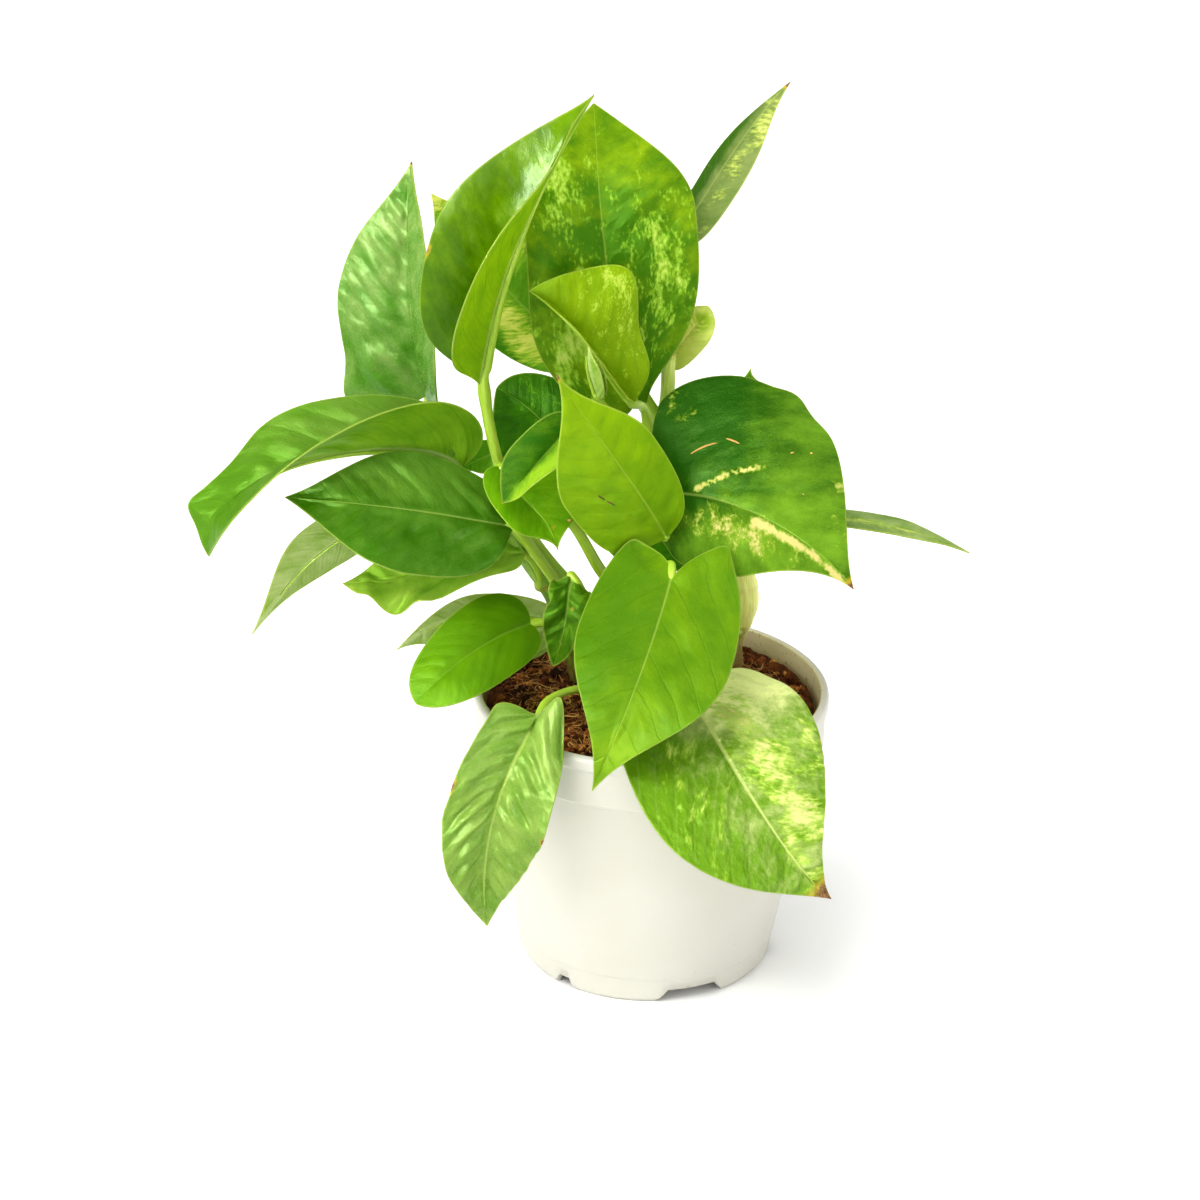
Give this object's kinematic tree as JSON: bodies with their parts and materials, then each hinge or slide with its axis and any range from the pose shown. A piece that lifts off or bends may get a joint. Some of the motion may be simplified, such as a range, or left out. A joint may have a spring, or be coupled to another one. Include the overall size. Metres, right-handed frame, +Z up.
{
  "type": "potted pothos plant",
  "caption": "Bushy trailing-vine houseplant with heart-shaped green and yellow-marbled leaves, standing in a tapered white plastic nursery pot filled with coco peat.",
  "frame": {"origin": "centre of the pot's foot on the surface that it stands on, at the underside of the round boss in the middle of the base", "axes": "+Z up along the pot's axis; -Y is the front that the picture shows; +X to the right seen from the front"},
  "size_m": [0.2258, 0.1297, 0.2673],
  "materials": {
    "pot": "satin",
    "soil": "matte",
    "stem": "satin",
    "leaf_fresh": "gloss",
    "leaf_lime": "gloss",
    "leaf_deep": "gloss",
    "leaf_marbled": "gloss"
  },
  "bodies": {
    "root": {"pot": "pot", "soil": "soil", "vine_left": "stem", "vine_front": "stem", "vine_right": "stem", "vine_back": "stem", "vine_low": "stem", "leaf_upper_left": "leaf_fresh", "leaf_top_folded": "leaf_lime", "leaf_top_centre": "leaf_marbled", "leaf_centre_folded": "leaf_lime", "leaf_centre_lime": "leaf_lime", "leaf_right_dark": "leaf_deep", "leaf_lower_right": "leaf_marbled", "leaf_lower_left": "leaf_fresh", "leaf_left_oval": "leaf_fresh", "leaf_left_pale": "leaf_fresh", "leaf_front_heart": "leaf_fresh", "leaf_left_arching": "leaf_fresh", "leaf_left_broad": "leaf_deep", "leaf_left_drooping": "leaf_fresh", "leaf_left_wavy": "leaf_deep", "leaf_small_torn": "leaf_deep", "leaf_behind_centre": "leaf_deep", "leaf_centre_small": "leaf_deep", "leaf_centre_pointed": "leaf_deep", "leaf_centre_under": "leaf_deep", "leaf_far_right": "leaf_deep", "leaf_top_right": "leaf_marbled", "leaf_right_yellow": "leaf_marbled", "leaf_behind_striped": "leaf_marbled", "leaf_behind_right": "leaf_deep", "leaf_left_behind": "leaf_fresh", "leaf_unfurling": "leaf_marbled"}
  },
  "joints": []
}
